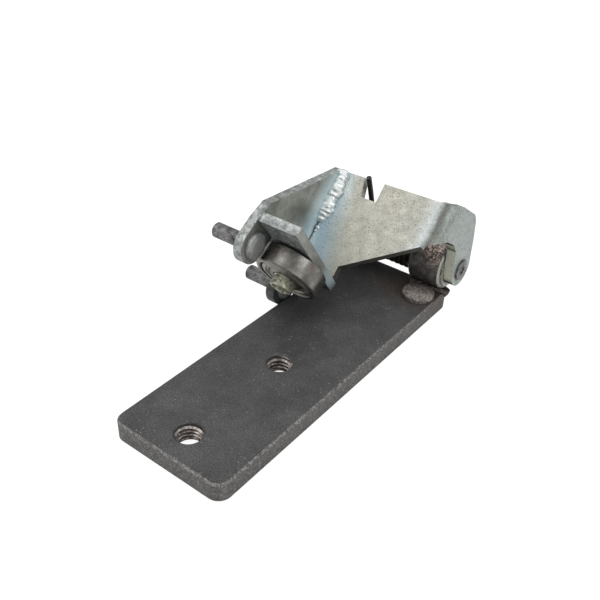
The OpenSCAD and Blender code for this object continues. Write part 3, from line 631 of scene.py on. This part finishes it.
def mesh_piece(name: str, points: list[Vector], faces: list[tuple[int, ...]], body: Body,
               finish: Finish, smooth: bool = True) -> bpy.types.Object:
    """Makes a mesh object in millimetres and lets it ride on a body.

    Args:
        name: name of the piece.
        points: corners in millimetres, in the part's frame.
        faces: corner numbers of each face.
        body: body that it moves with.
        finish: its finish.
        smooth: whether its faces are shaded smooth.

    Returns:
        The new object.
    """
    mesh = bpy.data.meshes.new(name)
    mesh.from_pydata([tuple(p * MM) for p in points], [], faces)
    tidy = bmesh.new()
    tidy.from_mesh(mesh)
    bmesh.ops.recalc_face_normals(tidy, faces=tidy.faces)
    tidy.to_mesh(mesh)
    tidy.free()
    for face in mesh.polygons:
        face.use_smooth = smooth
    piece = bpy.data.objects.new(name, mesh)
    bpy.context.scene.collection.objects.link(piece)
    dress(piece, finish)
    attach(piece, body.value)
    LOG.info("made %s, %d faces, rides on %s", name, len(faces), body.value)
    return piece


def grid_faces(rings: int, around: int, closed: bool = False, caps: bool = True) -> list[tuple[int, ...]]:
    """Lists the faces of a tube of rings.

    Args:
        rings: number of rings.
        around: number of points round each ring.
        closed: whether the last ring joins the first.
        caps: whether the two open ends get a cap.

    Returns:
        Corner numbers of each face.
    """
    faces: list[tuple[int, ...]] = []
    for i in range(rings if closed else rings - 1):
        j = (i + 1) % rings
        for k in range(around):
            m = (k + 1) % around
            faces.append((i * around + k, i * around + m, j * around + m, j * around + k))
    if caps and not closed:
        faces.append(tuple(range(around)))
        faces.append(tuple((rings - 1) * around + k for k in range(around - 1, -1, -1)))
    return faces


def sweep(path: list[Vector], radius: float, around: int) -> tuple[list[Vector], list[tuple[int, ...]]]:
    """Sweeps a round wire along a path without twisting it.

    Args:
        path: points of the centre line in millimetres.
        radius: radius of the wire.
        around: number of points round it.

    Returns:
        The wire's corners and faces.
    """
    points: list[Vector] = []
    side = Vector((0, 0, 1))
    for i, centre in enumerate(path):
        ahead = (path[min(i + 1, len(path) - 1)] - path[max(i - 1, 0)]).normalized()
        side = (side - ahead * side.dot(ahead)).normalized()
        other = ahead.cross(side)
        for k in range(around):
            turn = math.tau * k / around
            points.append(centre + radius * (side * math.cos(turn) + other * math.sin(turn)))
    return points, grid_faces(len(path), around)


def lump(centre: Vector, radius: float, seed: float) -> tuple[list[Vector], list[tuple[int, ...]]]:
    """Makes a small uneven droplet of metal.

    Args:
        centre: its centre in millimetres.
        radius: its mean radius.
        seed: number that sets its shape.

    Returns:
        The droplet's corners and faces.
    """
    ball = bmesh.new()
    bmesh.ops.create_icosphere(ball, subdivisions=3, radius=1.0)
    points = []
    for vert in ball.verts:
        swell = 1 + 0.28 * noise.noise(vert.co * 1.3 + Vector((seed, 2 * seed, 0)))
        points.append(centre + vert.co * radius * swell)
    faces = [tuple(v.index for v in face.verts) for face in ball.faces]
    ball.free()
    return points, faces


@dataclass
class FixingPlate:
    """The thick plate, its stop stud and the threads of its two holes."""

    hole_y: float = 19.3
    thread_r: float = 4.0
    thread_depth: float = 0.62
    pitch: float = 1.25
    thread_low: float = 0.5
    thread_high: float = 5.62
    steps_per_turn: int = 60

    def thread(self, name: str, y: float, start: float) -> bpy.types.Object:
        """Winds the thread ridge of one hole.

        Args:
            name: name of the piece.
            y: place of the hole along the plate.
            start: angle at which the ridge starts, in radians.

        Returns:
            The thread.
        """
        turns = (self.thread_high - self.thread_low) / self.pitch
        count = int(turns * self.steps_per_turn)
        points: list[Vector] = []
        for i in range(count + 1):
            turn = start + math.tau * i / self.steps_per_turn
            z = self.thread_low + self.pitch * i / self.steps_per_turn
            fade = min(1.0, i / 20, (count - i) / 20)
            crest = self.thread_r - self.thread_depth * fade
            for radius, dz in ((self.thread_r + 0.02, -0.46), (crest, -0.08), (crest, 0.08),
                               (self.thread_r + 0.02, 0.46)):
                points.append(Vector((radius * math.cos(turn), y + radius * math.sin(turn), z + dz)))
        return mesh_piece(name, points, grid_faces(count + 1, 4), Body.BASE, Finish.THREAD,
                          smooth=False)

    def build(self) -> None:
        """Dresses the plate and the stud and cuts the threads."""
        dress_node("base_plate", Finish.PLATE, 0.25)
        dress_node("stop_stud", Finish.STUD, 0.3)
        self.thread("near_thread", -self.hole_y, 0.4)
        self.thread("far_thread", self.hole_y, 1.9)


@dataclass
class Hinge:
    """The barrels, their welds, the pin and the torsion spring."""

    axis_y: float = 89.5
    axis_z: float = 14.6
    coil_r: float = 5.4
    coil_x0: float = -11.0
    coil_x1: float = 4.9
    leg_x: float = -9.2
    tang_x: float = 9.4
    turns: int = 8
    wire_r: float = 0.9
    pin_end_x: float = 22.0
    leg: tuple[tuple[float, float, float], ...] = (
        (-11.0, -5.8, 8.46), (-10.4, -8.2, 18.61), (-10.2, -11.7, 28.2))

    def spring(self) -> bpy.types.Object:
        """Winds the spring: tang in the right barrel, coil, long leg in the slit."""
        centre = Vector((0, self.axis_y, self.axis_z))
        path = [Vector((self.tang_x, self.axis_y - self.coil_r, self.axis_z - 1)),
                Vector((6.8, self.axis_y - self.coil_r, self.axis_z - 1)),
                Vector((6.0, self.axis_y - self.coil_r, self.axis_z - 0.9))]
        steps = self.turns * 40
        for i in range(steps + 1):
            turn = math.tau * i / 40
            x = self.coil_x1 + (self.coil_x0 - self.coil_x1) * i / steps
            path.append(Vector((x, self.axis_y - self.coil_r * math.cos(turn),
                                self.axis_z + self.coil_r * math.sin(turn))))
        knots = [path[-1]] + [centre + Vector(p) for p in self.leg]
        for a, b in zip(knots, knots[1:]):
            for i in range(1, 9):
                path.append(a.lerp(b, i / 8))
        for _ in range(4):
            path = [path[0]] + [(path[i - 1] + 2 * path[i] + path[i + 1]) / 4
                                for i in range(1, len(path) - 1)] + [path[-1]]
        points, faces = sweep(path, self.wire_r, 14)
        mesh = bpy.data.meshes.new("torsion_spring_wire")
        mesh.from_pydata([tuple(p * MM) for p in points], [], faces)
        for face in mesh.polygons:
            face.use_smooth = len(face.vertices) == 4
        wire = bpy.data.objects.new("torsion_spring_wire", mesh)
        bpy.context.scene.collection.objects.link(wire)
        dress(wire, Finish.SPRING)
        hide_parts("torsion_spring")
        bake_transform(wire)
        LOG.info("wound the torsion spring")
        return wire

    def rough_weld(self, name: str, finish: Finish, size_mm: float, height_mm: float) -> None:
        """Turns a smooth weld solid into a lumpy one.

        Args:
            name: name of the weld's solid.
            finish: its finish.
            size_mm: size of the lumps.
            height_mm: height of the lumps.
        """
        node = dress_node(name, finish)
        remesh = node.modifiers.new("even_mesh", "REMESH")
        remesh.mode = "VOXEL"
        remesh.voxel_size = 0.28 * MM
        remesh.use_smooth_shade = True
        lumps = bpy.data.textures.new(name + "_lumps", "CLOUDS")
        lumps.noise_scale = size_mm * MM
        lumps.noise_depth = 2
        push = node.modifiers.new("lumps", "DISPLACE")
        push.texture = lumps
        push.texture_coords = "LOCAL"
        push.strength = height_mm * MM
        push.mid_level = 0.62

    def pin_burr(self) -> bpy.types.Object:
        """Makes the rolled burr that the riveting left round the pin's dimple."""
        rings, around = 48, 12
        points = []
        for i in range(rings):
            turn = math.tau * i / rings
            swell = 1 + 0.35 * noise.noise(Vector((3 * math.cos(turn), 3 * math.sin(turn), 4.2)))
            for k in range(around):
                roll = math.tau * k / around
                radius = 1.75 + 0.42 * swell * math.cos(roll)
                points.append(Vector((self.pin_end_x + 0.62 + 0.26 * swell * math.sin(roll),
                                      self.axis_y + radius * math.cos(turn),
                                      self.axis_z + radius * math.sin(turn))))
        return mesh_piece("hinge_pin_burr", points, grid_faces(rings, around, closed=True),
                          Body.ARM, Finish.TURNED)

    def build(self) -> None:
        """Dresses the hinge and winds its spring."""
        dress_node("hinge_barrel_right", Finish.BARREL, 0.2)
        dress_node("hinge_barrel_left", Finish.BARREL, 0.2)
        self.rough_weld("barrel_weld_right", Finish.DARK_WELD, 1.6, 0.7)
        self.rough_weld("barrel_weld_left", Finish.DARK_WELD, 1.6, 0.7)
        dress_node("hinge_pin", Finish.TURNED, 0.2)
        dress_node("washer_right", Finish.WASHER)
        dress_node("washer_left", Finish.WASHER)
        self.pin_burr()
        self.spring()


@dataclass
class Arm:
    """The web, the carrier plate, their weld and the guide pins."""

    top_y: float = 78.3
    top_z: float = 41.9
    tilt: float = math.radians(44)
    seam_x: float = -20.25
    weld_from: float = -0.4
    weld_to: float = 19.4
    weld_r: float = 2.95

    def web_point(self, down: float, out: float, x: float) -> Vector:
        """Gives a point of the web.

        Args:
            down: distance down the web from its top edge.
            out: distance in front of its face.
            x: place across the web.

        Returns:
            The point in the part's frame.
        """
        return Vector((x, self.top_y - down * math.sin(self.tilt) - out * math.cos(self.tilt),
                       self.top_z - down * math.cos(self.tilt) + out * math.sin(self.tilt)))

    def seam(self) -> bpy.types.Object:
        """Lays the uneven bead of weld down the corner of web and carrier plate."""
        rings, around = 150, 36
        points = []
        length = self.weld_to - self.weld_from
        for i in range(rings):
            share = i / (rings - 1)
            down = self.weld_from + length * share
            taper = (1 - abs(2 * share - 1) ** 7) ** 0.5 if 0 < share < 1 else 0.02
            swell = 1 + 0.14 * math.cos(math.tau * down / 7.2) + 0.1 * noise.noise(Vector((down, 5.1, 0.3)))
            for k in range(around):
                turn = math.tau * k / around
                phase = down - 0.9 * math.cos(turn - math.pi / 4)
                ripple = 0.04 * (abs(math.sin(math.pi * phase / 1.5)) - 0.6)
                rough = 0.14 * noise.noise(Vector((down * 0.9, 2.2 * math.cos(turn), 2.2 * math.sin(turn))))
                fine = 0.07 * noise.noise(Vector((down * 2.4, 5 * math.cos(turn), 5 * math.sin(turn))))
                radius = self.weld_r * max(taper * swell * (1 + ripple + rough + fine), 0.05)
                wander = 0.35 * noise.noise(Vector((down * 0.45, 9.0, 1.0)))
                points.append(self.web_point(down, 0.85 * radius * math.sin(turn),
                                             self.seam_x + wander + radius * math.cos(turn)))
        bead = mesh_piece("seam_weld_bead", points, grid_faces(rings, around), Body.ARM,
                          Finish.SEAM)
        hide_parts("seam_weld")
        return bead

    def spatter(self) -> None:
        """Scatters the droplets that the weld threw next to the bead."""
        points: list[Vector] = []
        faces: list[tuple[int, ...]] = []
        spots = ((21.2, 0.1, -19.6, 0.75), (22.4, 0.05, -19.9, 0.5), (5.0, 0.05, -16.4, 0.28),
                 (12.1, 0.05, -16.9, 0.22), (16.4, 0.05, -15.9, 0.2), (2.2, 0.05, -15.2, 0.2))
        for number, (down, out, x, radius) in enumerate(spots):
            more, their_faces = lump(self.web_point(down, out, x), radius, number * 1.7)
            faces += [tuple(c + len(points) for c in face) for face in their_faces]
            points += more
        mesh_piece("weld_spatter", points, faces, Body.ARM, Finish.SEAM)

    def build(self) -> None:
        """Dresses the sheets and pins and lays the weld."""
        dress_node("arm_web", Finish.WEB, 0.22)
        dress_node("carrier_plate", Finish.CARRIER, 0.28)
        dress_node("upper_guide_pin", Finish.GUIDE, 0.15)
        dress_node("lower_guide_pin", Finish.GUIDE, 0.15)
        self.seam()
        self.spatter()


@dataclass
class Bearing:
    """The ball bearing that rolls on the rail, and its axle."""

    centre: tuple[float, float, float] = (-13.6, 41.4, 22.6)
    lean: float = math.radians(34)
    half_width: float = 3.5
    shield: tuple[tuple[float, float], ...] = (
        (9.24, -0.7), (8.9, -0.72), (8.72, -0.3), (8.5, -0.14), (8.2, -0.1), (7.6, -0.1),
        (7.35, -0.16), (7.2, -0.42), (7.0, -0.5), (6.8, -0.42), (6.66, -0.26), (6.42, -0.24),
        (6.3, -0.34), (6.28, -0.6), (6.6, -0.75), (9.1, -0.92), (9.24, -0.9))

    def frame_matrix(self) -> Matrix:
        """Gives the frame at the bearing's middle, with Z out of its front."""
        turn = Matrix.Rotation(math.pi / 2 + self.lean, 4, "X")
        return Matrix.Translation(Vector(self.centre)) @ turn

    def front_shield(self) -> bpy.types.Object:
        """Presses the front dust shield: crimped rim, flat, and a step at the bore."""
        place = self.frame_matrix()
        rings = 96
        points = []
        for i in range(rings):
            turn = math.tau * i / rings
            for radius, depth in self.shield:
                points.append(place @ Vector((radius * math.cos(turn), radius * math.sin(turn),
                                              self.half_width + depth)))
        piece = mesh_piece("front_dust_shield", points, grid_faces(rings, len(self.shield), closed=True),
                           Body.ROLLER, Finish.SHIELD)
        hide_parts("bearing_shield_front")
        return piece

    def build(self) -> None:
        """Dresses the bearing and its axle."""
        dress_node("bearing_outer_ring", Finish.RING)
        dress_node("bearing_inner_ring", Finish.RING)
        dress_node("bearing_balls", Finish.BALL)
        dress_node("bearing_cage", Finish.CAGE)
        dress_node("bearing_shield_rear", Finish.SHIELD)
        dress_node("roller_axle", Finish.AXLE, 0.15)
        dress_node("roller_spacer", Finish.WASHER)
        self.front_shield()


@dataclass
class Studio:
    """The pale floor, the soft light and the camera."""

    eye_mm: tuple[float, float, float] = (114.0, -126.25, 157.54)
    azimuth: float = math.radians(36.39)
    elevation: float = math.radians(34.70)
    roll: float = math.radians(2.285)
    lens_mm: float = 47.56
    wall_level: float = 0.28
    ceiling_level: float = 0.98
    key_watts: float = 1.9
    fill_watts: float = 1.5

    def camera(self) -> None:
        """Sets the camera where the photograph was taken from."""
        sin_a, cos_a = math.sin(self.azimuth), math.cos(self.azimuth)
        sin_e, cos_e = math.sin(self.elevation), math.cos(self.elevation)
        back = Vector((sin_a * cos_e, -cos_a * cos_e, sin_e))
        right = Vector((cos_a, sin_a, 0))
        up = back.cross(right)
        x_axis = right * math.cos(self.roll) + up * math.sin(self.roll)
        y_axis = up * math.cos(self.roll) - right * math.sin(self.roll)
        lens = bpy.data.cameras.new("view")
        lens.lens = self.lens_mm
        lens.sensor_width = 36.0
        lens.clip_start = 0.01
        lens.clip_end = 20.0
        camera = bpy.data.objects.new("view", lens)
        turn = Matrix((x_axis, y_axis, back)).transposed().to_4x4()
        camera.matrix_world = Matrix.Translation(Vector(self.eye_mm) * MM) @ turn
        bpy.context.scene.collection.objects.link(camera)
        bpy.context.scene.camera = camera

    def world(self) -> None:
        """Makes the room: white where it is seen, with a light ceiling and dim walls."""
        world = bpy.data.worlds.new("pale_room")
        world.use_nodes = True
        tree = world.node_tree
        tree.nodes.clear()
        way = add(tree, "ShaderNodeSeparateXYZ", {0: add(tree, "ShaderNodeTexCoord").outputs["Generated"]})
        sky = add(tree, "ShaderNodeMapRange", {0: way.outputs[2], 1: 0.1, 2: 0.75,
                  3: self.wall_level, 4: self.ceiling_level})
        seen = add(tree, "ShaderNodeLightPath").outputs["Is Camera Ray"]
        level = add(tree, "ShaderNodeMapRange", {0: seen, 3: sky.outputs[0], 4: 1.0})
        light = add(tree, "ShaderNodeBackground", {0: (1.0, 1.0, 1.0, 1.0), 1: level.outputs[0]})
        add(tree, "ShaderNodeOutputWorld", {0: light.outputs[0]})
        bpy.context.scene.world = world

    def floor(self) -> None:
        """Lays the pale floor, which keeps a light shadow of the part."""
        mesh = bpy.data.meshes.new("floor")
        half = 4.0
        mesh.from_pydata([(-half, -half, -0.0002), (half, -half, -0.0002), (half, half, -0.0002),
                          (-half, half, -0.0002)], [], [(0, 1, 2, 3)])
        floor = bpy.data.objects.new("floor", mesh)
        bpy.context.scene.collection.objects.link(floor)
        material = bpy.data.materials.new("white_board")
        material.use_nodes = True
        tree = material.node_tree
        tree.nodes.clear()
        board = add(tree, "ShaderNodeBsdfDiffuse", {0: linear("#f4f4f4")})
        glow = add(tree, "ShaderNodeEmission", {0: (1.0, 1.0, 1.0, 1.0), 1: 1.25})
        rays = add(tree, "ShaderNodeLightPath")
        share = add(tree, "ShaderNodeMath", {0: rays.outputs["Is Camera Ray"], 1: 0.72},
                    operation="MULTIPLY")
        mixed = add(tree, "ShaderNodeMixShader", {0: share.outputs[0], 1: board.outputs[0],
                    2: glow.outputs[0]})
        add(tree, "ShaderNodeOutputMaterial", {0: mixed.outputs[0]})
        floor.data.materials.append(material)

    def lamp(self, name: str, at: tuple[float, float, float], size: float, watts: float) -> None:
        """Hangs one soft lamp that faces the part.

        Args:
            name: name of the lamp.
            at: its place in metres.
            size: width of its square face in metres.
            watts: its power.
        """
        light = bpy.data.lights.new(name, "AREA")
        light.size = size
        light.energy = watts
        lamp = bpy.data.objects.new(name, light)
        aim = Vector((0, 0.04, 0.01)) - Vector(at)
        lamp.rotation_euler = aim.to_track_quat("-Z", "Y").to_euler()
        lamp.location = at
        bpy.context.scene.collection.objects.link(lamp)

    def build(self) -> None:
        """Sets up camera, room, floor and lamps."""
        bpy.context.scene.view_settings.view_transform = "Standard"
        self.camera()
        self.world()
        self.floor()
        self.lamp("key", (-0.35, -0.45, 0.9), 0.6, self.key_watts)
        self.lamp("fill", (0.7, -0.2, 0.5), 0.5, self.fill_watts)


def main() -> None:
    """Builds the studio and the sub-assemblies in order."""
    logging.basicConfig(level=logging.INFO, format="%(name)s: %(message)s")
    for part in (Studio(), FixingPlate(), Hinge(), Arm(), Bearing()):
        LOG.info("building %s", type(part).__name__)
        part.build()


if __name__ == "__main__":
    main()
